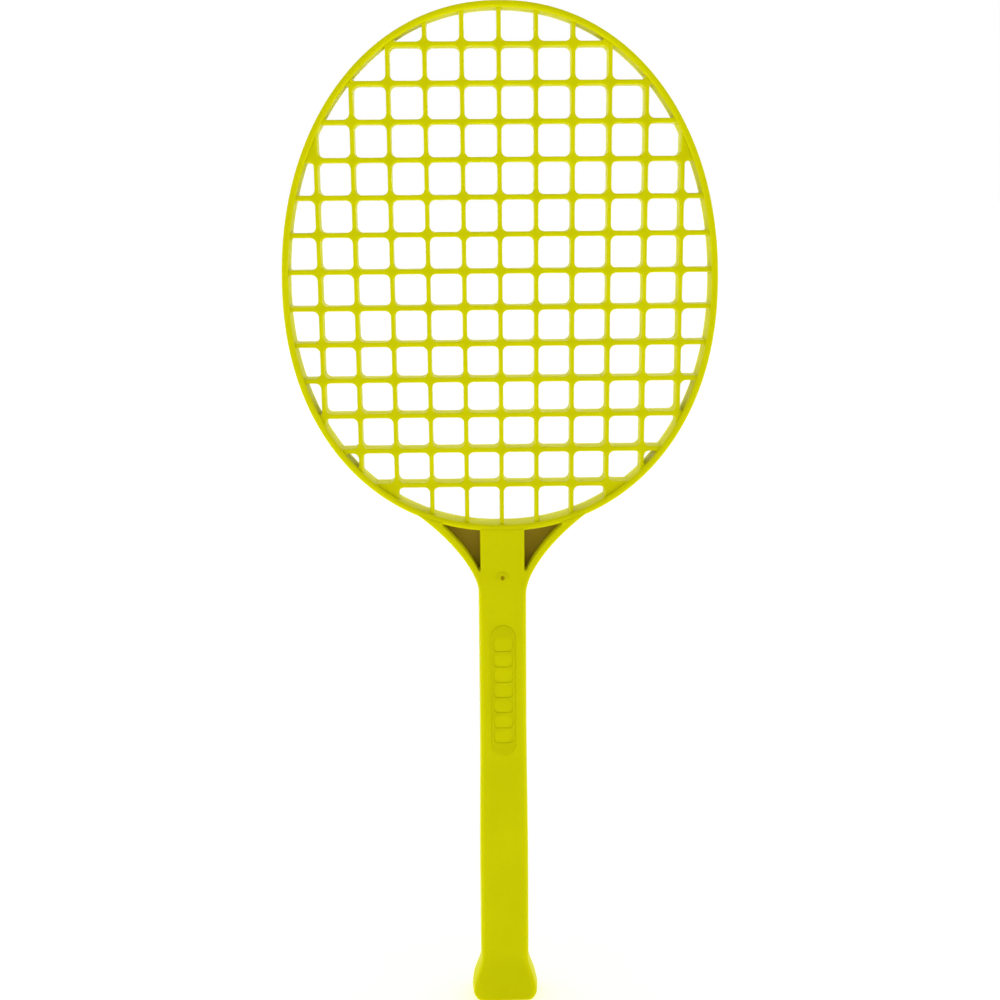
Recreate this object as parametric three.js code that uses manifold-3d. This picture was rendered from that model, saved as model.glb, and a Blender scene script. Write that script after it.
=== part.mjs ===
// A play racket moulded in yellow plastic: an oval head filled by a square lattice of ribs, a throat whose two
// pockets have a floor half way through, and a cored handle that ends in a flared butt closed by a plug.
// Millimetres. +Z runs from the butt to the tip of the head, the front faces -Y, and the origin is the
// middle of the hand grip, on the racket's centre line.
import * as THREE from "three";
import { mergeVertices } from "three/addons/utils/BufferGeometryUtils.js";
import Module from "manifold-3d";

const wasm = await Module();
wasm.setup();

const FIT_GAP = 0.3; // between neighbouring pieces

// Head: a superellipse whose upper and lower halves share one width
const HEAD_CENTRE_Z = 271.6;
const HEAD_HALF_WIDTH = 99.3;
const HEAD_UPPER = { height: 124.1, power: 2.1 };
const HEAD_LOWER = { height: 113.3, power: 2.14 };
const HEAD_STEPS = 96;
const RIM_WALL = 3.6;
const RIM_DEPTH = 16;
const RIM_DRAFT = 0.4; // how much each face of the wall leans back from the parting line

// Lattice: ribs on a square grid about its own centre crossing
const LATTICE_CENTRE_Z = 279;
const LATTICE_PITCH = 16.4;
const LATTICE_DEPTH = 12;
const MAINS = 11; // ribs along Z
const CROSSES = 13; // ribs along X
const MAIN_WIDTH = 2.2;
const CROSS_WIDTH = 2.4;
const CELL_CORNER = 2.4;
const SMALLEST_CELL = 3.8; // a cell that opens less than this beside the rim is left solid

// Throat: its outer flank runs from the handle's side up to the rim as one curve
const THROAT_DEPTH = 16;
const HANDLE_NECK_HALF = 11.45;
const FLANK = new THREE.CubicBezierCurve(
  new THREE.Vector2(HANDLE_NECK_HALF, 128),
  new THREE.Vector2(HANDLE_NECK_HALF, 144),
  new THREE.Vector2(39, 169.2),
  new THREE.Vector2(55, 175.6),
);
const FLANK_STEPS = 18;
const ARM_WALL_AT_HANDLE = 3.2;
const ARM_WALL_AT_RIM = 4.4;
const POCKET_BOTTOM_Z = 143.4;
const WEB_THICKNESS = 3;
const NECK_HALF = 10.6;
const NECK_BOTTOM_Z = 120;
const NECK_EDGE = 0.1; // edge radius of the neck, as a share of its half depth

// Handle: rounded bar, cored from the butt end
const HANDLE_DEPTH = 18;
const HANDLE_CORNER = 0.28; // edge radius as a share of the half width and half depth
const HANDLE_BOTTOM_Z = -62;
const HANDLE_LEVELS = 12;
const GRIP_HALF = 12.1;
const GRIP_SWELL = { from: 65, to: -15 }; // the handle widens to the grip between these levels
const BUTT_Z = -84.5;
const BUTT_HALF = 16.6;
const BUTT_DEPTH = 22;
const BUTT_FLARE = { from: -62, to: -80 };
const BUTT_END_ROUND = 5;
const END_ROUND_WIDE = 0.8; // share of the end radius taken off the width and off the depth
const END_ROUND_DEEP = 0.3;
const END_ROUND_RISES = [0, 0.7, 2.5]; // levels that draw the end radius, above the end
const BUTT_LEVELS = 6;
const CORE = { width: 17, depth: 12, corner: 2, top: 75 };
const PLUG_LENGTH = 9;
const PLUG_WALL = 2;

// Raised motif: a ladder of bars on the front of the handle
const MOTIF = { centre: 80, length: 66, width: 12, rail: 1.6, bars: 8, height: 0.8 };

const plastic = new THREE.MeshStandardMaterial({ color: 0xdedc08, roughness: 0.38, metalness: 0 });
const pocketPlastic = new THREE.MeshStandardMaterial({ color: 0xcfc90c, roughness: 0.45, metalness: 0 });

// Booleans

function toSolid(geometry) {
  const bare = geometry.clone();
  bare.deleteAttribute("normal");
  bare.deleteAttribute("uv");
  const merged = mergeVertices(bare, 1e-4);
  const mesh = new wasm.Mesh({
    numProp: 3,
    vertProperties: merged.attributes.position.array,
    triVerts: new Uint32Array(merged.index.array),
  });
  return new wasm.Manifold(mesh);
}

function toGeometry(solid) {
  const mesh = solid.getMesh();
  const geometry = new THREE.BufferGeometry();
  geometry.setAttribute("position", new THREE.BufferAttribute(new Float32Array(mesh.vertProperties), 3));
  geometry.setIndex(new THREE.BufferAttribute(new Uint32Array(mesh.triVerts), 1));
  geometry.computeVertexNormals();
  return geometry;
}

function cut(geometry, ...tools) {
  const left = tools.reduce((solid, tool) => solid.subtract(toSolid(tool)), toSolid(geometry));
  return toGeometry(left);
}

function overlapOf(first, second) {
  return toGeometry(toSolid(first).intersect(toSolid(second)));
}

// Outlines in the racket's own plane, as X and Z, and the solids they make

function facePlate(shape, depth) {
  const geometry = new THREE.ExtrudeGeometry(shape, { depth, bevelEnabled: false });
  geometry.translate(0, 0, -depth / 2);
  geometry.rotateX(Math.PI / 2);
  return geometry;
}

function draftedPlate(shape, depth, draft) {
  const partingBand = 0.2;
  const side = (depth - partingBand) / 2;
  const geometry = new THREE.ExtrudeGeometry(shape, {
    depth: partingBand,
    bevelThickness: side,
    bevelSize: draft,
    bevelOffset: -draft,
    bevelSegments: 1,
  });
  geometry.translate(0, 0, -partingBand / 2);
  geometry.rotateX(Math.PI / 2);
  return geometry;
}

function headPoint(angle, inset) {
  const half = Math.sin(angle) >= 0 ? HEAD_UPPER : HEAD_LOWER;
  const ease = 2 / half.power;
  const across = Math.sign(Math.cos(angle)) * Math.abs(Math.cos(angle)) ** ease;
  const along = Math.sign(Math.sin(angle)) * Math.abs(Math.sin(angle)) ** ease;
  const normal = new THREE.Vector2(
    (Math.sign(across) * Math.abs(across) ** (half.power - 1)) / HEAD_HALF_WIDTH,
    (Math.sign(along) * Math.abs(along) ** (half.power - 1)) / half.height,
  ).normalize();
  const edge = new THREE.Vector2(HEAD_HALF_WIDTH * across, HEAD_CENTRE_Z + half.height * along);
  return edge.addScaledVector(normal, -inset);
}

function headOutline(inset) {
  const points = [];
  for (let i = 0; i < HEAD_STEPS; i++) points.push(headPoint((2 * Math.PI * i) / HEAD_STEPS, inset));
  return points;
}

function insideHead(x, z, inset) {
  const half = z >= HEAD_CENTRE_Z ? HEAD_UPPER : HEAD_LOWER;
  const across = Math.abs(x) / (HEAD_HALF_WIDTH - inset);
  const along = Math.abs(z - HEAD_CENTRE_Z) / (half.height - inset);
  return across ** half.power + along ** half.power < 1;
}

function roundedRectangle(width, height, corner) {
  const [x, y] = [width / 2, height / 2];
  const shape = new THREE.Shape();
  shape.moveTo(x - corner, -y);
  shape.absarc(x - corner, corner - y, corner, -Math.PI / 2, 0);
  shape.absarc(x - corner, y - corner, corner, 0, Math.PI / 2);
  shape.absarc(corner - x, y - corner, corner, Math.PI / 2, Math.PI);
  shape.absarc(corner - x, corner - y, corner, Math.PI, 1.5 * Math.PI);
  return shape;
}

// A bar along Z whose half width and half depth follow two functions of z
function shapedBar(levels, corner, halfWidth, halfDepth) {
  const section = roundedRectangle(2, 2, corner);
  const geometry = new THREE.ExtrudeGeometry(section, {
    depth: levels.length - 1,
    steps: levels.length - 1,
    curveSegments: 3,
    bevelEnabled: false,
  });
  const position = geometry.attributes.position;
  for (let i = 0; i < position.count; i++) {
    const z = levels[Math.round(position.getZ(i))];
    position.setXYZ(i, position.getX(i) * halfWidth(z), position.getY(i) * halfDepth(z), z);
  }
  return geometry;
}

function straightBar(width, depth, corner, from, to) {
  const geometry = new THREE.ExtrudeGeometry(roundedRectangle(width, depth, corner), {
    depth: to - from,
    curveSegments: 3,
    bevelEnabled: false,
  });
  geometry.translate(0, 0, from);
  return geometry;
}

// Head

function makeRim() {
  const shape = new THREE.Shape(headOutline(0));
  shape.holes.push(new THREE.Path(headOutline(RIM_WALL)));
  return draftedPlate(shape, RIM_DEPTH, RIM_DRAFT);
}

function cellIsOpen(x, z) {
  const towardCentre = (value, middle, half) => value - Math.sign(value - middle) * half;
  const nearX = towardCentre(x, 0, LATTICE_PITCH / 2 - SMALLEST_CELL);
  const nearZ = towardCentre(z, HEAD_CENTRE_Z, LATTICE_PITCH / 2 - SMALLEST_CELL);
  return insideHead(nearX, nearZ, RIM_WALL);
}

function makeLattice() {
  const plate = facePlate(new THREE.Shape(headOutline(RIM_WALL + FIT_GAP)), LATTICE_DEPTH);
  const cellShape = roundedRectangle(
    LATTICE_PITCH - MAIN_WIDTH,
    LATTICE_PITCH - CROSS_WIDTH,
    CELL_CORNER,
  );
  const cell = new THREE.ExtrudeGeometry(cellShape, {
    depth: 2 * LATTICE_DEPTH,
    curveSegments: 1,
    bevelEnabled: false,
  });
  cell.translate(0, 0, -LATTICE_DEPTH);
  cell.rotateX(Math.PI / 2);
  const cells = [];
  for (let column = -MAINS / 2; column <= MAINS / 2; column++) {
    for (let row = -CROSSES / 2; row <= CROSSES / 2; row++) {
      const x = column * LATTICE_PITCH;
      const z = LATTICE_CENTRE_Z + row * LATTICE_PITCH;
      if (cellIsOpen(x, z)) cells.push(cell.clone().translate(x, 0, z));
    }
  }
  return cut(plate, ...cells);
}

// Throat

function headPlug() {
  return facePlate(new THREE.Shape(headOutline(-FIT_GAP)), 2 * THROAT_DEPTH);
}

function flankPoints(wall) {
  const points = [];
  for (let i = 0; i <= FLANK_STEPS; i++) {
    const t = i / FLANK_STEPS;
    const tangent = FLANK.getTangent(t);
    const inward = new THREE.Vector2(-tangent.y, tangent.x);
    points.push(FLANK.getPoint(t).addScaledVector(inward, wall(t)));
  }
  return points;
}

function armWall(t) {
  return ARM_WALL_AT_HANDLE + (ARM_WALL_AT_RIM - ARM_WALL_AT_HANDLE) * t;
}

function mirrored(geometry, side) {
  if (side > 0) return geometry;
  const turned = geometry.clone();
  return turned.rotateZ(Math.PI);
}

function makeArm(side) {
  const outer = flankPoints(() => 0);
  const inner = flankPoints(armWall).reverse();
  const strip = draftedPlate(new THREE.Shape([...outer, ...inner]), THROAT_DEPTH, RIM_DRAFT);
  const everything = 4 * HEAD_HALF_WIDTH;
  const belowPocket = new THREE.BoxGeometry(everything, everything, everything);
  belowPocket.translate(0, 0, POCKET_BOTTOM_Z + FIT_GAP - everything / 2);
  const neck = new THREE.BoxGeometry(2 * (NECK_HALF + FIT_GAP), everything, everything);
  return mirrored(cut(strip, headPlug(), belowPocket, neck), side);
}

function makeWeb(side) {
  const foot = POCKET_BOTTOM_Z + FIT_GAP;
  const left = NECK_HALF + FIT_GAP;
  const arm = flankPoints((t) => armWall(t) + FIT_GAP).filter((point) => point.x > left && point.y > foot);
  const top = arm.at(-1).y;
  const outline = [new THREE.Vector2(left, foot), ...arm, new THREE.Vector2(left, top)];
  return mirrored(cut(facePlate(new THREE.Shape(outline), WEB_THICKNESS), headPlug()), side);
}

function makeNeck() {
  const top = HEAD_CENTRE_Z - HEAD_LOWER.height;
  const flank = FLANK.getPoints(2 * FLANK_STEPS).filter((point) => point.y < POCKET_BOTTOM_Z);
  const right = [
    new THREE.Vector2(HANDLE_NECK_HALF, NECK_BOTTOM_Z + FIT_GAP),
    ...flank,
    new THREE.Vector2(flank.at(-1).x, POCKET_BOTTOM_Z),
    new THREE.Vector2(NECK_HALF, POCKET_BOTTOM_Z),
    new THREE.Vector2(NECK_HALF, top + THROAT_DEPTH),
  ];
  const left = right.map((point) => new THREE.Vector2(-point.x, point.y)).reverse();
  const front = facePlate(new THREE.Shape([...right, ...left]), 2 * HANDLE_DEPTH);
  const side = shapedBar(
    [NECK_BOTTOM_Z, top, top + THROAT_DEPTH],
    NECK_EDGE,
    () => 2 * HANDLE_DEPTH,
    (z) => (z > NECK_BOTTOM_Z ? THROAT_DEPTH : HANDLE_DEPTH) / 2,
  );
  return cut(overlapOf(front, side), headPlug());
}

// Handle

function easedBelow(z, band) {
  return 1 - THREE.MathUtils.smoothstep(z, band.to, band.from);
}

function gripHalf(z) {
  return THREE.MathUtils.lerp(HANDLE_NECK_HALF, GRIP_HALF, easedBelow(z, GRIP_SWELL));
}

function buttHalf(z) {
  return THREE.MathUtils.lerp(gripHalf(z), BUTT_HALF, easedBelow(z, BUTT_FLARE));
}

function buttHalfDepth(z) {
  return THREE.MathUtils.lerp(HANDLE_DEPTH, BUTT_DEPTH, easedBelow(z, BUTT_FLARE)) / 2;
}

function buttEndRound(z) {
  const below = Math.max(0, BUTT_Z + BUTT_END_ROUND - z);
  return BUTT_END_ROUND - Math.sqrt(BUTT_END_ROUND ** 2 - below ** 2);
}

function makeCore() {
  return straightBar(CORE.width, CORE.depth, CORE.corner, BUTT_Z - 1, CORE.top);
}

function makeHandle() {
  const levels = [];
  for (let i = 0; i <= HANDLE_LEVELS; i++) {
    levels.push(THREE.MathUtils.lerp(HANDLE_BOTTOM_Z, NECK_BOTTOM_Z, i / HANDLE_LEVELS));
  }
  const bar = shapedBar(levels, HANDLE_CORNER, gripHalf, () => HANDLE_DEPTH / 2);
  return cut(bar, makeCore());
}

function makeButt() {
  const top = HANDLE_BOTTOM_Z - FIT_GAP;
  const levels = END_ROUND_RISES.map((rise) => BUTT_Z + rise);
  for (let i = 0; i <= BUTT_LEVELS; i++) {
    levels.push(THREE.MathUtils.lerp(BUTT_Z + BUTT_END_ROUND, top, i / BUTT_LEVELS));
  }
  const halfWidth = (z) => buttHalf(z) - END_ROUND_WIDE * buttEndRound(z);
  const halfDepth = (z) => buttHalfDepth(z) - END_ROUND_DEEP * buttEndRound(z);
  return cut(shapedBar(levels, HANDLE_CORNER, halfWidth, halfDepth), makeCore());
}

function makePlug() {
  const width = CORE.width - 2 * FIT_GAP;
  const depth = CORE.depth - 2 * FIT_GAP;
  const body = straightBar(width, depth, CORE.corner - FIT_GAP, BUTT_Z, BUTT_Z + PLUG_LENGTH);
  const hollow = straightBar(
    width - 2 * PLUG_WALL,
    depth - 2 * PLUG_WALL,
    CORE.corner / 2,
    BUTT_Z + PLUG_WALL,
    BUTT_Z + PLUG_LENGTH + 1,
  );
  return cut(body, hollow);
}

function makeMotif() {
  const shape = roundedRectangle(MOTIF.width, MOTIF.length, MOTIF.width / 2);
  const windowHeight = (MOTIF.length - MOTIF.width - (MOTIF.bars - 1) * MOTIF.rail) / (MOTIF.bars - 1);
  const windowWidth = MOTIF.width - 2 * MOTIF.rail;
  const pitch = windowHeight + MOTIF.rail;
  for (let i = 1; i < MOTIF.bars; i++) {
    const middle = (i - MOTIF.bars / 2) * pitch;
    const outline = roundedRectangle(windowWidth, windowHeight, windowHeight / 3).getPoints(2);
    shape.holes.push(new THREE.Path(outline.map((p) => new THREE.Vector2(p.x, p.y + middle))));
  }
  const geometry = new THREE.ExtrudeGeometry(shape, {
    depth: MOTIF.height,
    curveSegments: 4,
    bevelEnabled: false,
  });
  return geometry.rotateX(Math.PI / 2);
}

const racket = new THREE.Group();

function addPiece(name, geometry, material, place = [0, 0, 0]) {
  const mesh = new THREE.Mesh(geometry, material);
  mesh.name = name;
  mesh.position.set(...place);
  racket.add(mesh);
}

addPiece("head_rim", makeRim(), plastic);
addPiece("string_lattice", makeLattice(), plastic);
addPiece("right_throat_arm", makeArm(1), plastic);
addPiece("left_throat_arm", makeArm(-1), plastic);
addPiece("right_pocket_web", makeWeb(1), pocketPlastic);
addPiece("left_pocket_web", makeWeb(-1), pocketPlastic);
addPiece("neck_block", makeNeck(), plastic);
addPiece("handle_grip", makeHandle(), plastic);
addPiece("butt_flare", makeButt(), plastic);
addPiece("butt_plug", makePlug(), plastic);
addPiece("raised_motif", makeMotif(), plastic, [0, -HANDLE_DEPTH / 2 - FIT_GAP, MOTIF.centre]);

export default racket;
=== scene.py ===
# A play racket moulded in one shot of yellow polypropylene: an oval hoop filled by a square lattice of ribs,
# a throat with two blind pockets on each side, and a cored handle whose flared butt is closed by a plug.
# Metres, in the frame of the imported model: +Z from the butt to the tip, the front faces -Y.
import math

import bmesh
import bpy
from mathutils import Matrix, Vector


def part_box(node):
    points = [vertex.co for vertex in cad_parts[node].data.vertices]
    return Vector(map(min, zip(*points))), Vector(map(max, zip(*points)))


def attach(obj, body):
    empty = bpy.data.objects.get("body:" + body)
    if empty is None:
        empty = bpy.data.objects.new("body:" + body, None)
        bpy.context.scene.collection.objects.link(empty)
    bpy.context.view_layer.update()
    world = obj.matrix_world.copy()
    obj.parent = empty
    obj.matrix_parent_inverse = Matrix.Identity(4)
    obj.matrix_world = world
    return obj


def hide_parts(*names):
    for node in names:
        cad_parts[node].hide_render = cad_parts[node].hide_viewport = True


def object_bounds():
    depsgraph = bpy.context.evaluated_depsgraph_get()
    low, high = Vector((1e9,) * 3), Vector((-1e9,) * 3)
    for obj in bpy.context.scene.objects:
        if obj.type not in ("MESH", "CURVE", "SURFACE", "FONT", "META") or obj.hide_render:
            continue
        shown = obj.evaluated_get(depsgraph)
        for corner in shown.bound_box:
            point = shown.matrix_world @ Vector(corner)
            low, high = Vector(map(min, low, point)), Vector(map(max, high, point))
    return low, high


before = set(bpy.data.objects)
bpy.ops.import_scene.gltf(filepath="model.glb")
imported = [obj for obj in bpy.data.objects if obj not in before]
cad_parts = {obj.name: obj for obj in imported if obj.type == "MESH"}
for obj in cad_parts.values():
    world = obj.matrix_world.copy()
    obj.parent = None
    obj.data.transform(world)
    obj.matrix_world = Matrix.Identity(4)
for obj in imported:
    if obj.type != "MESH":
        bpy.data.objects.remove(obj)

cad_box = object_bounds()

# Head rim: the hoop round the head, a wall 3.6 mm thick that leans 0.4 mm back from the parting line on
# each face, with rounded front and back edges. It is moulded in one with the ribs, the throat and the handle.
mm = 0.001
rim_low, rim_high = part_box("head_rim")
head_half_width = rim_high.x
head_middle = 271.6 * mm
head_upper = {"height": rim_high.z - head_middle, "power": 2.1}
head_lower = {"height": head_middle - rim_low.z, "power": 2.14}
rim_half_depth = rim_high.y
rim_wall = 3.6 * mm
rim_draft = 0.4 * mm
rim_edge_radius = 1 * mm
rim_edge_steps = 4
rim_steps = 288
weld_distance = 0.01 * mm


def oval_point(angle, inset):
    """The point of the head's outline at this angle, moved inwards by inset, as X and Z."""
    half = head_upper if math.sin(angle) >= 0 else head_lower
    ease = 2 / half["power"]
    across = math.copysign(abs(math.cos(angle)) ** ease, math.cos(angle))
    along = math.copysign(abs(math.sin(angle)) ** ease, math.sin(angle))
    normal = Vector((
        math.copysign(abs(across) ** (half["power"] - 1), across) / head_half_width,
        math.copysign(abs(along) ** (half["power"] - 1), along) / half["height"],
    )).normalized()
    edge = Vector((head_half_width * across, head_middle + half["height"] * along))
    return edge - inset * normal


def start_piece(name):
    """Names the primitive just added and puts its place into its mesh."""
    piece = bpy.context.object
    piece.name = name
    piece.data.name = name
    bpy.ops.object.transform_apply(location=True, rotation=True, scale=True)
    return piece


def pick(kind, wanted):
    """Selects those vertices, edges or faces of the mesh in edit mode that wanted() says yes to."""
    mesh = bmesh.from_edit_mesh(bpy.context.edit_object.data)
    bpy.ops.mesh.select_mode(type=kind)
    bpy.ops.mesh.select_all(action="DESELECT")
    for item in {"VERT": mesh.verts, "EDGE": mesh.edges, "FACE": mesh.faces}[kind]:
        if wanted(item):
            item.select_set(True)
    mesh.select_flush_mode()
    bmesh.update_edit_mesh(bpy.context.edit_object.data)


def draw_to_oval(piece, draft=0.0):
    """Draws a round hoop or disc out to the head's oval, and leans its walls back from the parting line."""
    for vertex in piece.data.vertices:
        x, y, z = vertex.co
        inset = head_half_width - math.hypot(x, z)
        lean = draft * abs(y) / rim_half_depth
        inset += lean if inset < rim_wall / 2 else -lean
        place = oval_point(math.atan2(z, x), inset)
        vertex.co = (place.x, y, place.y)


def add_modifier(piece, kind, **settings):
    """Adds a modifier with these settings and applies it."""
    modifier = piece.modifiers.new(kind.title(), kind)
    for setting, value in settings.items():
        setattr(modifier, setting, value)
    bpy.context.view_layer.objects.active = piece
    bpy.ops.object.modifier_apply(modifier=modifier.name)


def finish_surface(piece):
    """Rounds shade smoothly into flats that stay flat."""
    bpy.ops.object.select_all(action="DESELECT")
    piece.select_set(True)
    bpy.context.view_layer.objects.active = piece
    bpy.ops.object.shade_smooth()
    add_modifier(piece, "WEIGHTED_NORMAL", weight=100, keep_sharp=False)


bpy.ops.object.select_all(action="DESELECT")
bpy.ops.mesh.primitive_plane_add(size=1, location=(head_half_width - rim_wall / 2, 0, 0))
bpy.context.object.scale = (rim_wall, 2 * rim_half_depth, 1)
rim = start_piece("head_rim_moulding")
bpy.ops.object.mode_set(mode="EDIT")
bpy.ops.mesh.select_all(action="SELECT")
bpy.ops.mesh.bevel(offset=rim_edge_radius, segments=rim_edge_steps, affect="VERTICES")
bpy.ops.mesh.select_all(action="SELECT")
bpy.ops.mesh.delete(type="ONLY_FACE")
pick("EDGE", lambda edge: edge.verts[0].co.y * edge.verts[1].co.y < 0)
bpy.ops.mesh.subdivide(number_cuts=1)
bpy.ops.mesh.select_all(action="SELECT")
bpy.ops.mesh.spin(steps=rim_steps, angle=2 * math.pi, center=(0, 0, 0), axis=(0, 1, 0))
bpy.ops.mesh.select_all(action="SELECT")
bpy.ops.mesh.remove_doubles(threshold=weld_distance)
bpy.ops.mesh.normals_make_consistent(inside=False)
bpy.ops.object.mode_set(mode="OBJECT")
draw_to_oval(rim, rim_draft)
finish_surface(rim)
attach(rim, "root")
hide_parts("head_rim")


plastic_yellow = (0.86, 0.85, 0.002)
plastic_scatter = 1.2 * mm  # how deep light scatters into the moulding
flow_cloud_shade = 0.95
smoothest = 0.34
roughest = 0.46
tool_grain = 0.05 * mm


def yellow_polypropylene(name, colour, scatter=plastic_scatter):
    """Semi-gloss moulded polypropylene, slightly translucent, with flow clouds and a fine tool grain."""
    material = bpy.data.materials.new(name)
    material.use_nodes = True
    nodes, links = material.node_tree.nodes, material.node_tree.links
    shader = nodes["Principled BSDF"]
    place = nodes.new("ShaderNodeTexCoord")
    flow = nodes.new("ShaderNodeTexNoise")
    flow.inputs["Scale"].default_value = 38
    flow.inputs["Detail"].default_value = 3
    tint = nodes.new("ShaderNodeValToRGB")
    tint.color_ramp.elements[0].position = 0.3
    tint.color_ramp.elements[0].color = (*[flow_cloud_shade * part for part in colour], 1)
    tint.color_ramp.elements[1].position = 0.7
    tint.color_ramp.elements[1].color = (*colour, 1)
    scuff = nodes.new("ShaderNodeTexNoise")
    scuff.inputs["Scale"].default_value = 420
    scuff.inputs["Detail"].default_value = 4
    gloss = nodes.new("ShaderNodeMapRange")
    gloss.inputs["From Min"].default_value = 0.35
    gloss.inputs["From Max"].default_value = 0.65
    gloss.inputs["To Min"].default_value = smoothest
    gloss.inputs["To Max"].default_value = roughest
    fine = nodes.new("ShaderNodeTexNoise")
    fine.inputs["Scale"].default_value = 1600
    fine.inputs["Detail"].default_value = 2
    bump = nodes.new("ShaderNodeBump")
    bump.inputs["Strength"].default_value = 0.1
    bump.inputs["Distance"].default_value = tool_grain
    for texture in (flow, scuff, fine):
        links.new(place.outputs["Object"], texture.inputs["Vector"])
    links.new(flow.outputs["Fac"], tint.inputs["Fac"])
    links.new(tint.outputs["Color"], shader.inputs["Base Color"])
    links.new(scuff.outputs["Fac"], gloss.inputs["Value"])
    links.new(gloss.outputs["Result"], shader.inputs["Roughness"])
    links.new(fine.outputs["Fac"], bump.inputs["Height"])
    links.new(bump.outputs["Normal"], shader.inputs["Normal"])
    shader.inputs["IOR"].default_value = 1.49
    shader.inputs["Specular IOR Level"].default_value = 0.015
    shader.inputs["Subsurface Weight"].default_value = 1.0
    shader.inputs["Subsurface Radius"].default_value = (1.0, 0.95, 0.1)
    shader.inputs["Subsurface Scale"].default_value = scatter
    return material


plastic = yellow_polypropylene("yellow_polypropylene", plastic_yellow)
rim.data.materials.append(plastic)

# Rib lattice: eleven ribs along the racket and thirteen across it, on a 16.4 mm grid, moulded into the rim.
# Each rib is widest at the parting line and leans in to rounded front and back edges, and small fillets round
# the corners of the cells.
lattice_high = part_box("string_lattice")[1]
lattice_middle = 279 * mm
pitch = 16.4 * mm
mains = 11
crosses = 13
main_width = 2.15 * mm
cross_width = 2.45 * mm
cell_corner = 2.5 * mm
rim_corner = 0.9 * mm
least_corner = 0.5 * mm
smallest_cell = 3.8 * mm
rib_half_depth = lattice_high.y
rib_draft = 0.2 * mm
rib_edge_radius = 0.45 * mm
cell_reach = rim_wall - 0.15 * mm  # the cells beside the rim run this far from its outline, under its wall
lattice_reach = 1.5 * mm  # the ribs' ends run to this far from the rim's outline
sharp_turn = math.radians(20)
longest_leg = 0.46  # share of a side that one corner's arc may take
arc_spacing = 0.2 * mm


def inside_head(x, z, inset):
    """Whether a point lies inside the head's outline moved inwards by inset."""
    half = head_upper if z >= head_middle else head_lower
    across = abs(x) / (head_half_width - inset)
    along = abs(z - head_middle) / (half["height"] - inset)
    return across ** half["power"] + along ** half["power"] < 1


def cell_is_open(x, z):
    """A cell beside the rim is left out where less than smallest_cell of it would be open."""
    near_x = x - math.copysign(pitch / 2 - smallest_cell, x)
    near_z = z - math.copysign(pitch / 2 - smallest_cell, z - head_middle)
    return inside_head(near_x, near_z, rim_wall)


def cell_middle(x, z):
    """The middle of the grid cell that holds this point."""
    return (
        (math.floor(x / pitch) + 0.5) * pitch,
        lattice_middle + (math.floor((z - lattice_middle) / pitch) + 0.5) * pitch,
    )


def round_corners(outline, corner_at, least_radius, steps=4):
    """Replaces each sharp corner of a closed outline by an arc that starts corner_at(point) before it."""
    count = len(outline)
    ahead = [(outline[(i + 1) % count] - outline[i]) for i in range(count)]
    turns = [ahead[i - 1].angle(ahead[i]) for i in range(count)]
    sharp = [i for i in range(count) if turns[i] > sharp_turn]
    rounded = []
    for here, following in zip(sharp, sharp[1:] + [sharp[0] + count]):
        before = sharp[sharp.index(here) - 1]
        side_in = sum(ahead[i % count].length for i in range(before - (count if before >= here else 0), here))
        side_out = sum(ahead[i % count].length for i in range(here, following))
        leg = corner_leg(outline[here], turns[here], corner_at, least_radius, min(side_in, side_out))
        start = walk(outline, here, -leg)
        end = walk(outline, here, leg)
        middle = outline[here]
        turn = turns[here]
        reach = 4 / 3 * math.tan(turn / 4) / math.tan(turn / 2)
        first = start.lerp(middle, reach)
        second = end.lerp(middle, reach)
        for i in range(steps + 1):
            t = i / steps
            place = (1 - t) ** 3 * start + 3 * t * (1 - t) ** 2 * first
            rounded.append(place + 3 * t * t * (1 - t) * second + t ** 3 * end)
        travelled = 0
        for i in range(here + 1, following):
            travelled += ahead[(i - 1) % count].length
            left = side_out - travelled
            following_corner = outline[following % count]
            next_turn = turns[following % count]
            next_leg = corner_leg(following_corner, next_turn, corner_at, least_radius, side_out)
            if travelled > leg + arc_spacing and left > next_leg + arc_spacing:
                rounded.append(outline[i % count].copy())
    return rounded


def corner_leg(point, turn, corner_at, least_radius, side):
    """How far before a corner its arc starts."""
    return min(max(corner_at(point), least_radius * math.tan(turn / 2)), longest_leg * side)


def walk(outline, start, distance):
    """The point this far along a closed outline from its corner number start, backwards if negative."""
    step = 1 if distance > 0 else -1
    left = abs(distance)
    here = start
    while True:
        point = outline[here % len(outline)]
        target = outline[(here + step) % len(outline)]
        length = (target - point).length
        if length >= left:
            return point.lerp(target, left / length)
        left -= length
        here += step


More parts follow.
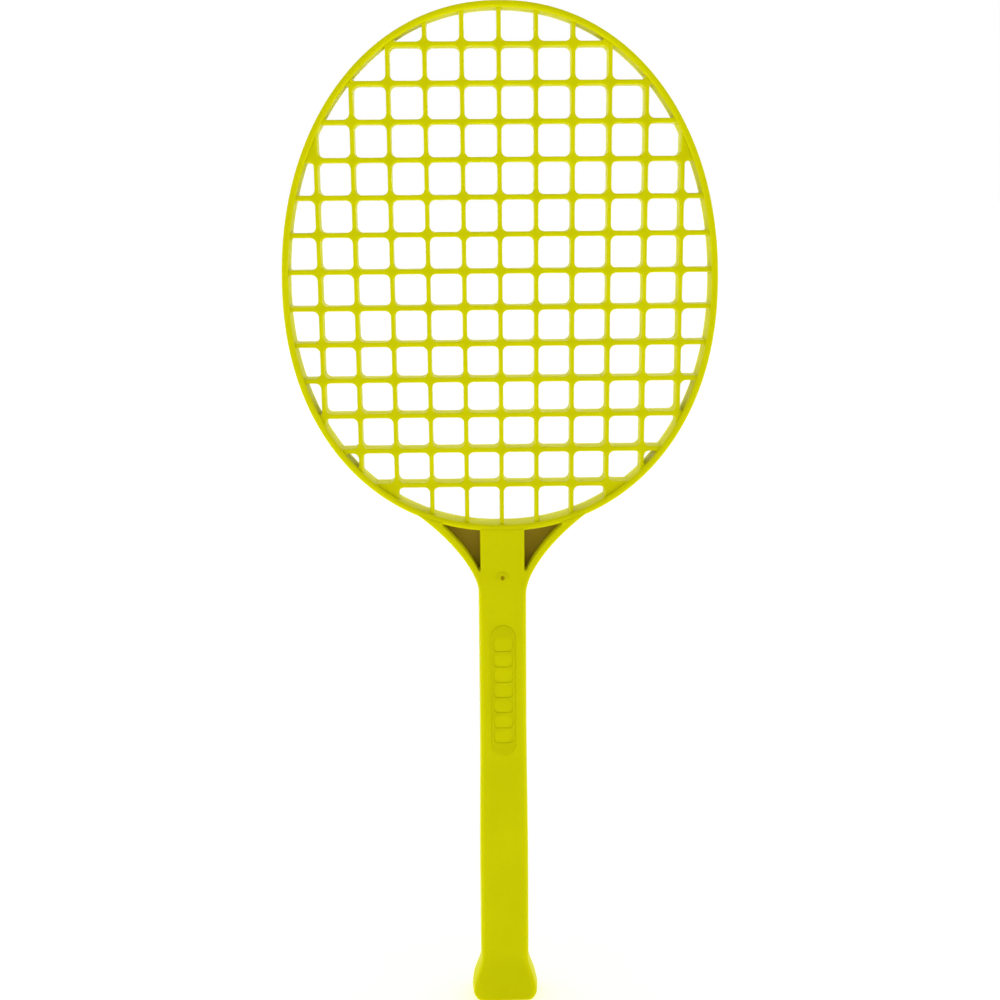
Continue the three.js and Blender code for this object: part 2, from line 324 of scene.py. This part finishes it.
def mould_plate(name, outlines, section, bends=(0, 30, 60, 90)):
    """A plate drawn by closed outlines, as X and Z at the parting line: the outside first, then its holes.
    section(x, z, outward) gives its half depth, its draft and its edge radius there. The plate is extruded
    one level per bend of its rounded edges, and each level is then moved to its own depth and lean."""
    points = []
    edges = []
    outwards = []
    for number, outline in enumerate(outlines):
        first = len(points)
        count = len(outline)
        area = sum(outline[i - 1].cross(outline[i]) for i in range(count))
        facing = 1 if (area > 0) == (number == 0) else -1
        for i, point in enumerate(outline):
            arriving = (outline[i] - outline[i - 1]).normalized()
            leaving = (outline[(i + 1) % count] - outline[i]).normalized()
            along = (arriving + leaving).normalized()
            points.append((point.x, 0, point.y))
            outwards.append(Vector((along.y, -along.x)) * facing)
            edges.append((first + i, first + (i + 1) % count))
    mesh = bpy.data.meshes.new(name)
    mesh.from_pydata(points, edges, [])
    piece = bpy.data.objects.new(name, mesh)
    bpy.context.scene.collection.objects.link(piece)
    outward_at = {(v.co.x, v.co.z): outwards[v.index] for v in mesh.vertices}
    bpy.ops.object.select_all(action="DESELECT")
    piece.select_set(True)
    bpy.context.view_layer.objects.active = piece
    bpy.ops.object.mode_set(mode="EDIT")
    bpy.ops.mesh.select_mode(type="EDGE")
    bpy.ops.mesh.select_all(action="SELECT")
    bpy.ops.mesh.fill(use_beauty=True)
    levels = [(1, bend) for bend in reversed(bends)] + [None] + [(-1, bend) for bend in bends]
    bpy.ops.mesh.select_all(action="SELECT")
    for _ in levels[1:]:
        bpy.ops.mesh.extrude_region_move(TRANSFORM_OT_translate={"value": (0, -1, 0)})
    bpy.ops.mesh.select_all(action="SELECT")
    bpy.ops.mesh.normals_make_consistent(inside=False)
    bpy.ops.object.mode_set(mode="OBJECT")
    for vertex in piece.data.vertices:
        x, z = vertex.co.x, vertex.co.z
        level = levels[round(-vertex.co.y)]
        outward = outward_at.get((x, z), Vector((0, 0)))
        half_depth, draft, radius = section(x, z, outward)
        if level is None:
            vertex.co.y = 0
            continue
        side, bend = level
        pull = draft + radius * (1 - math.cos(math.radians(bend)))
        vertex.co.x = x - outward.x * pull
        vertex.co.z = z - outward.y * pull
        vertex.co.y = side * (half_depth - radius * (1 - math.sin(math.radians(bend))))
    finish_surface(piece)
    return piece


def cell_corner_at(point):
    """A cell's corner is tighter where it meets the rim."""
    return cell_corner if inside_head(point.x, point.y, cell_reach + arc_spacing) else rim_corner


bpy.ops.object.select_all(action="DESELECT")
bpy.ops.mesh.primitive_circle_add(
    vertices=rim_steps, radius=head_half_width - cell_reach, fill_type="NGON", rotation=(math.pi / 2, 0, 0)
)
cells = start_piece("cell_layout")
draw_to_oval(cells)
bpy.ops.object.mode_set(mode="EDIT")
for number in range(mains):
    for side in (-1, 1):
        cut = (number - mains // 2) * pitch + side * main_width / 2
        bpy.ops.mesh.select_all(action="SELECT")
        bpy.ops.mesh.bisect(plane_co=(cut, 0, 0), plane_no=(1, 0, 0))
for number in range(crosses):
    for side in (-1, 1):
        cut = lattice_middle + (number - crosses // 2) * pitch + side * cross_width / 2
        bpy.ops.mesh.select_all(action="SELECT")
        bpy.ops.mesh.bisect(plane_co=(0, 0, cut), plane_no=(0, 0, 1))
bpy.ops.object.mode_set(mode="OBJECT")
cell_outlines = []
for face in cells.data.polygons:
    corners = [Vector((cells.data.vertices[i].co.x, cells.data.vertices[i].co.z)) for i in face.vertices]
    corners = [point for i, point in enumerate(corners) if (point - corners[i - 1]).length > weld_distance]
    middle = sum(corners, Vector((0, 0))) / len(corners)
    x, z = cell_middle(middle.x, middle.y)
    on_main = abs(middle.x - x) > (pitch - main_width) / 2
    on_cross = abs(middle.y - z) > (pitch - cross_width) / 2
    if not on_main and not on_cross and cell_is_open(x, z):
        cell_outlines.append(round_corners(corners, cell_corner_at, least_corner))
bpy.data.objects.remove(cells)
lattice_edge = [oval_point(2 * math.pi * i / rim_steps, lattice_reach) for i in range(rim_steps)]
lattice = mould_plate(
    "rib_lattice",
    [lattice_edge, *cell_outlines],
    lambda x, z, outward: (rib_half_depth, rib_draft, rib_edge_radius),
)
lattice.data.materials.append(plastic)
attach(lattice, "root")
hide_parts("string_lattice")

# Throat and handle: one moulding with the head. Two arms curve from the handle up to the rim, a flat neck
# runs between them, and below it the handle is a rounded bar that flares into the butt.
grip_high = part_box("handle_grip")[1]
butt_low, butt_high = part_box("butt_flare")
flank = [Vector((11.45, 128)), Vector((11.45, 144)), Vector((39, 169.2)), Vector((55, 175.6))]
flank_steps = 28
arch_steps = 30
butt_corner_steps = 8
butt_end_steps = 6
arm_wall = {"handle": 3.2 * mm, "rim": 4.4 * mm}
neck_half = 10.6 * mm
handle_top_half = 11.45 * mm
grip_half = 12.1 * mm
grip_swell = (65 * mm, -15 * mm)
butt_half = butt_high.x
butt_flare = (-62 * mm, -80 * mm)
butt_corner = 5 * mm
handle_half_depth = grip_high.y
butt_half_depth = butt_high.y
throat_half_depth = rim_half_depth - 0.1 * mm
neck_slope = (159 * mm, 118 * mm)
handle_start = (142 * mm, 108 * mm)
throat_edge_radius = 0.85 * mm
handle_edge_gain = 2.05 * mm
butt_end_edge_radius = 1.1 * mm
butt_side_edge_gain = 1.8 * mm
throat_draft = 0.2 * mm
handle_draft_gain = 0.15 * mm
butt_draft_gain = 0.2 * mm
throat_reach = 2.35 * mm
pocket_reach = 0.5 * mm
pocket_corner = 0.9 * mm
pocket_top_steps = 8
pocket_side_steps = 7
station_step = 3 * mm


def eased(value, start, end):
    """0 before start, 1 after end, and a smooth step between."""
    share = min(1, max(0, (value - start) / (end - start)))
    return share * share * (3 - 2 * share)


def handle_half(z):
    """Half the handle's width at this height."""
    grip = handle_top_half + (grip_half - handle_top_half) * eased(z, *grip_swell)
    return grip + (butt_half - grip) * eased(z, *butt_flare)


def flank_point(t, wall=0.0):
    """A point of the arm's outer curve, or of its inner one at the given wall."""
    a, b, c, d = flank
    point = (1 - t) ** 3 * a + 3 * t * (1 - t) ** 2 * b + 3 * t * t * (1 - t) * c + t ** 3 * d
    along = 3 * (1 - t) ** 2 * (b - a) + 6 * t * (1 - t) * (c - b) + 3 * t * t * (d - c)
    along.normalize()
    return point * mm + wall * Vector((-along.y, along.x))


def lower_oval_z(x, inset):
    """The height of the head's lower outline, moved in by inset, at this X."""
    power = head_lower["power"]
    share = abs(x) / (head_half_width - inset)
    return head_middle - (head_lower["height"] - inset) * (1 - share ** power) ** (1 / power)


def mirrored(outline):
    """The outline's mirror image on the racket's other side."""
    return [Vector((-point.x, point.y)) for point in reversed(outline)]


def throat_section(x, z, outward):
    """Half depth, draft and edge radius of the throat and handle at a point of their outline."""
    half_depth = throat_half_depth + (handle_half_depth - throat_half_depth) * eased(z, *neck_slope)
    half_depth += (butt_half_depth - handle_half_depth) * eased(z, *butt_flare)
    in_handle = eased(z, *handle_start)
    in_butt = eased(z, *butt_flare)
    sideways = abs(outward.x)
    radius = throat_edge_radius + handle_edge_gain * in_handle
    draft = throat_draft + handle_draft_gain * in_handle + butt_draft_gain * in_butt * sideways
    if z < butt_low.z + butt_corner:
        radius = butt_end_edge_radius + butt_side_edge_gain * sideways ** 1.5
    return half_depth, draft, radius


butt_flat = butt_half - butt_corner
right_side = [Vector((i / butt_end_steps * butt_flat, butt_low.z)) for i in range(1, butt_end_steps)]
for i in range(butt_corner_steps + 1):
    turn = math.pi / 2 * i / butt_corner_steps
    right_side.append(Vector((
        butt_half - butt_corner + butt_corner * math.sin(turn),
        butt_low.z + butt_corner - butt_corner * math.cos(turn),
    )))
z = butt_low.z + butt_corner + 1.5 * mm
while z < flank[0].y * mm - 1 * mm:
    right_side.append(Vector((handle_half(z), z)))
    z += station_step if z > butt_flare[0] else station_step / 2
for i in range(flank_steps + 1):
    right_side.append(flank_point(i / flank_steps))
arch_end = flank[3].x * mm
arch = [Vector((arch_end * (1 - i / arch_steps), 0)) for i in range(arch_steps)]
for point in arch:
    point.y = lower_oval_z(point.x, throat_reach)
arch_middle = Vector((0, lower_oval_z(0, throat_reach)))
butt_end_middle = Vector((0, butt_low.z))
throat_outline = [*right_side, *arch, arch_middle, *mirrored(arch), *mirrored(right_side), butt_end_middle]

inner_flank = []
for i in range(4 * flank_steps):
    t = i / (4 * flank_steps)
    point = flank_point(t, arm_wall["handle"] + (arm_wall["rim"] - arm_wall["handle"]) * t)
    if point.x > neck_half and point.y < lower_oval_z(point.x, pocket_reach):
        inner_flank.append(point)
pocket_width = inner_flank[-1].x - neck_half
pocket_top = [
    Vector((neck_half + pocket_width * (1 - i / pocket_top_steps), 0)) for i in range(1, pocket_top_steps + 1)
]
for point in pocket_top:
    point.y = lower_oval_z(point.x, pocket_reach)
pocket_foot = Vector((neck_half, inner_flank[0].y))
neck_side = [pocket_top[-1].lerp(pocket_foot, i / pocket_side_steps) for i in range(1, pocket_side_steps)]
pocket = round_corners(
    [pocket_foot, *inner_flank[1:-1:3], inner_flank[-1], *pocket_top, *neck_side],
    lambda point: pocket_corner,
    least_corner,
)
throat = mould_plate("throat_and_handle", [throat_outline, pocket, mirrored(pocket)], throat_section)
throat.data.materials.append(plastic)
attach(throat, "root")
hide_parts("right_throat_arm", "left_throat_arm", "neck_block", "handle_grip", "butt_flare")

# Pocket webs: thin floors that close the two pockets of the throat half way through its depth, of the same
# plastic, painted a darker olive as painted shade for the dim depth of the pockets. Their edges run into the
# walls round the pocket.
web_draft = 0.1 * mm
web_edge_radius = 0.2 * mm
web_growth = 1.06
# The webs' dark olive is painted shade that stands in for the shade deep in the pockets, not a colour of the
# plastic.
web_painted_shade_olive = (0.42, 0.31, 0.03)
web_painted_shade_plastic = yellow_polypropylene("web_painted_shade_polypropylene", web_painted_shade_olive)
for node, outline in (("right_pocket_web", pocket), ("left_pocket_web", mirrored(pocket))):
    web_half_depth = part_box(node)[1].y
    middle = sum(outline, Vector((0, 0))) / len(outline)
    web = mould_plate(
        node + "_moulding",
        [[middle + (point - middle) * web_growth for point in outline]],
        lambda x, z, outward: (web_half_depth, web_draft, web_edge_radius),
        bends=(0, 90),
    )
    web.data.materials.append(web_painted_shade_plastic)
    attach(web, "root")
    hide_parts(node)

# Raised motif on the front of the handle: a plain ladder of bars inside a rounded frame, moulded 0.2 mm
# proud of the flat face, of the same plastic.
motif_low, motif_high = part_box("raised_motif")
motif_rail = 1.6 * mm
motif_bars = 8
motif_proud = 0.2 * mm
motif_half_depth = 0.5 * mm
motif_draft = 0.1 * mm
motif_edge_radius = 0.4 * mm
motif_yellow = (0.8, 0.79, 0.002)
small_scatter = 0.2 * mm  # so that a small mark sunk in the handle isn't darkened by it


def stadium(width, height, corner, middle=0.0, steps=6):
    """A rectangle with round corners, as X and Z about a middle height."""
    outline = []
    for quarter, (x, z) in enumerate(((1, -1), (1, 1), (-1, 1), (-1, -1))):
        for i in range(steps + 1):
            turn = math.pi / 2 * (quarter - 1 + i / steps)
            outline.append(Vector((
                x * (width / 2 - corner) + corner * math.cos(turn),
                middle + z * (height / 2 - corner) + corner * math.sin(turn),
            )))
    return outline


motif_width = motif_high.x - motif_low.x
motif_length = motif_high.z - motif_low.z
motif_middle = (motif_low.z + motif_high.z) / 2
window_height = (motif_length - motif_width - (motif_bars - 1) * motif_rail) / (motif_bars - 1)
windows = [
    stadium(
        motif_width - 2 * motif_rail,
        window_height,
        window_height / 3,
        motif_middle + (i - motif_bars / 2) * (window_height + motif_rail),
    )
    for i in range(1, motif_bars)
]
motif = mould_plate(
    "raised_motif_moulding",
    [stadium(motif_width, motif_length, motif_width / 2 - 0.1 * mm, motif_middle, 10), *windows],
    lambda x, z, outward: (motif_half_depth, motif_draft, motif_edge_radius),
)
for vertex in motif.data.vertices:
    vertex.co.y += motif_half_depth - handle_half_depth - motif_proud
motif_plastic = yellow_polypropylene("motif_polypropylene", motif_yellow, small_scatter)
motif.data.materials.append(motif_plastic)
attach(motif, "root")
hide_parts("raised_motif")

# Gate mark: a cut-off nib 2 mm across on the front of the neck, inside a faint ring, where the plastic was
# let into the mould.
gate_middle = 136 * mm
gate_face = -(throat_half_depth + (handle_half_depth - throat_half_depth) * eased(gate_middle, *neck_slope))
nib_radius = 0.95 * mm
nib_edge = 0.3 * mm
nib_hollow = 0.25 * mm
ring_radius = 2.8 * mm
ring_bead = 0.45 * mm
ring_sunk = 0.42 * mm
gate_olive = (0.5, 0.38, 0.004)
gate_plastic = yellow_polypropylene("gate_polypropylene", gate_olive, small_scatter)
bpy.ops.object.select_all(action="DESELECT")
bpy.ops.mesh.primitive_cylinder_add(
    vertices=40,
    radius=nib_radius,
    depth=1 * mm,
    location=(0, gate_face, gate_middle),
    rotation=(math.pi / 2, 0, 0),
)
nib = start_piece("gate_nib")
bpy.ops.object.mode_set(mode="EDIT")
pick("FACE", lambda face: face.normal.y < -0.9)
bpy.ops.mesh.bevel(offset=nib_edge, segments=3, affect="EDGES")
pick("FACE", lambda face: face.normal.y < -0.99)
bpy.ops.mesh.inset(thickness=nib_edge)
bpy.ops.transform.translate(value=(0, nib_hollow, 0))
bpy.ops.object.mode_set(mode="OBJECT")
finish_surface(nib)
nib.data.materials.append(gate_plastic)
bpy.ops.object.select_all(action="DESELECT")
bpy.ops.mesh.primitive_torus_add(
    location=(0, gate_face + ring_sunk, gate_middle),
    rotation=(math.pi / 2, 0, 0),
    major_radius=ring_radius,
    minor_radius=ring_bead,
    major_segments=64,
    minor_segments=16,
)
ring = start_piece("gate_ring")
bpy.ops.object.shade_smooth()
ring.data.materials.append(motif_plastic)
for piece in (nib, ring):
    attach(piece, "root")

# Core: the handle is hollow from the butt end, a rounded bore of about 17 by 12 mm that stops 75 mm above
# the frame's origin, below the neck. The bar that cuts it stands for the mould's core pin.
plug_low, plug_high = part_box("butt_plug")
core_gap = 0.3 * mm
core_top = 75 * mm
core_corner = 2 * mm


def rounded_bar(name, low, high, corner):
    """A bar along Z between two corners of its box, with its four long edges rounded."""
    bpy.ops.object.select_all(action="DESELECT")
    bpy.ops.mesh.primitive_cube_add(size=1, location=(low + high) / 2)
    bpy.context.object.scale = high - low
    bar = start_piece(name)
    bpy.ops.object.mode_set(mode="EDIT")
    pick("EDGE", lambda edge: abs(edge.verts[0].co.z - edge.verts[1].co.z) > 1 * mm)
    bpy.ops.mesh.bevel(offset=corner, segments=5, affect="EDGES")
    bpy.ops.object.mode_set(mode="OBJECT")
    return bar


around = Vector((core_gap, core_gap, 0))
core = rounded_bar(
    "core",
    plug_low - around - Vector((0, 0, 1 * mm)),
    Vector((plug_high.x, plug_high.y, core_top)) + around,
    core_corner,
)
add_modifier(throat, "BOOLEAN", object=core, operation="DIFFERENCE", solver="EXACT")
bpy.data.objects.remove(core)

# Butt plug: a moulded cap pressed into the core, flush with the butt, with 2 mm walls, open on the inside
# and rounded round its outer face.
plug_wall = 2 * mm
plug_hollow_corner = 1 * mm
plug_edge_radius = 0.5 * mm
plug = rounded_bar("butt_plug_moulding", plug_low, plug_high, core_corner - core_gap)
hollow = rounded_bar(
    "plug_hollow",
    plug_low + Vector((plug_wall, plug_wall, plug_wall)),
    plug_high + Vector((-plug_wall, -plug_wall, 1 * mm)),
    plug_hollow_corner,
)
add_modifier(plug, "BOOLEAN", object=hollow, operation="DIFFERENCE", solver="EXACT")
bpy.data.objects.remove(hollow)
bpy.ops.object.mode_set(mode="EDIT")
pick("EDGE", lambda edge: max(vertex.co.z for vertex in edge.verts) < plug_low.z + 0.1 * mm)
bpy.ops.mesh.bevel(offset=plug_edge_radius, segments=3, affect="EDGES")
bpy.ops.object.mode_set(mode="OBJECT")
finish_surface(plug)
plug.data.materials.append(plastic)
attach(plug, "root")
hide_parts("butt_plug")

# Stage: a white floor under the butt, and a soft white surround that is dimmer in front of the racket and
# overhead, so that its front is quieter than its sides. The camera looks a little down on the racket's front.
floor_white = 0.93
floor_roughness = 0.9
floor_glow = 0.39
light_in_front = 0.29
light_behind = 1.65
share_overhead = 0.55
camera_place = (-0.015, -0.705, 0.316)
camera_down = math.radians(13.42)
camera_roll = math.radians(0.4)
camera_turn = math.radians(-1.235)
bpy.ops.object.select_all(action="DESELECT")
bpy.ops.mesh.primitive_plane_add(size=60, location=(0, 0, cad_box[0].z))
floor = start_piece("floor")
floor_paint = bpy.data.materials.new("pale_floor")
floor_paint.use_nodes = True
floor_shader = floor_paint.node_tree.nodes["Principled BSDF"]
floor_shader.inputs["Base Color"].default_value = (floor_white, floor_white, floor_white, 1)
floor_shader.inputs["Roughness"].default_value = floor_roughness
floor_shader.inputs["Emission Color"].default_value = (1, 1, 1, 1)
floor_shader.inputs["Emission Strength"].default_value = floor_glow
floor.data.materials.append(floor_paint)

world = bpy.data.worlds.new("soft_surround")
bpy.context.scene.world = world
world.use_nodes = True
sky = world.node_tree.nodes
sky_links = world.node_tree.links
backdrop = sky["Background"]
backdrop.inputs["Color"].default_value = (1, 1, 1, 1)
direction = sky.new("ShaderNodeTexCoord")
axes = sky.new("ShaderNodeSeparateXYZ")
toward_back = sky.new("ShaderNodeMapRange")
toward_back.inputs["From Min"].default_value = -1
toward_back.inputs["From Max"].default_value = 1
toward_back.inputs["To Min"].default_value = light_in_front
toward_back.inputs["To Max"].default_value = light_behind
overhead = sky.new("ShaderNodeMapRange")
overhead.inputs["From Min"].default_value = 0
overhead.inputs["From Max"].default_value = 1
overhead.inputs["To Min"].default_value = 1
overhead.inputs["To Max"].default_value = share_overhead
light = sky.new("ShaderNodeMath")
light.operation = "MULTIPLY"
seen = sky.new("ShaderNodeLightPath")
strength = sky.new("ShaderNodeMix")
strength.inputs["B"].default_value = 1
sky_links.new(direction.outputs["Generated"], axes.inputs["Vector"])
sky_links.new(axes.outputs["Y"], toward_back.inputs["Value"])
sky_links.new(axes.outputs["Z"], overhead.inputs["Value"])
sky_links.new(toward_back.outputs["Result"], light.inputs[0])
sky_links.new(overhead.outputs["Result"], light.inputs[1])
sky_links.new(light.outputs["Value"], strength.inputs["A"])
sky_links.new(seen.outputs["Is Camera Ray"], strength.inputs["Factor"])
sky_links.new(strength.outputs["Result"], backdrop.inputs["Strength"])

camera_data = bpy.data.cameras.new("camera")
camera = bpy.data.objects.new("camera", camera_data)
bpy.context.scene.collection.objects.link(camera)
camera.location = camera_place
camera.rotation_euler = (math.pi / 2 - camera_down, camera_roll, camera_turn)
camera_data.sensor_width = 36
camera_data.lens = 54.7
camera_data.shift_y = 0.05
camera_data.clip_start = 0.01
bpy.context.scene.camera = camera
bpy.context.scene.view_settings.view_transform = "Standard"
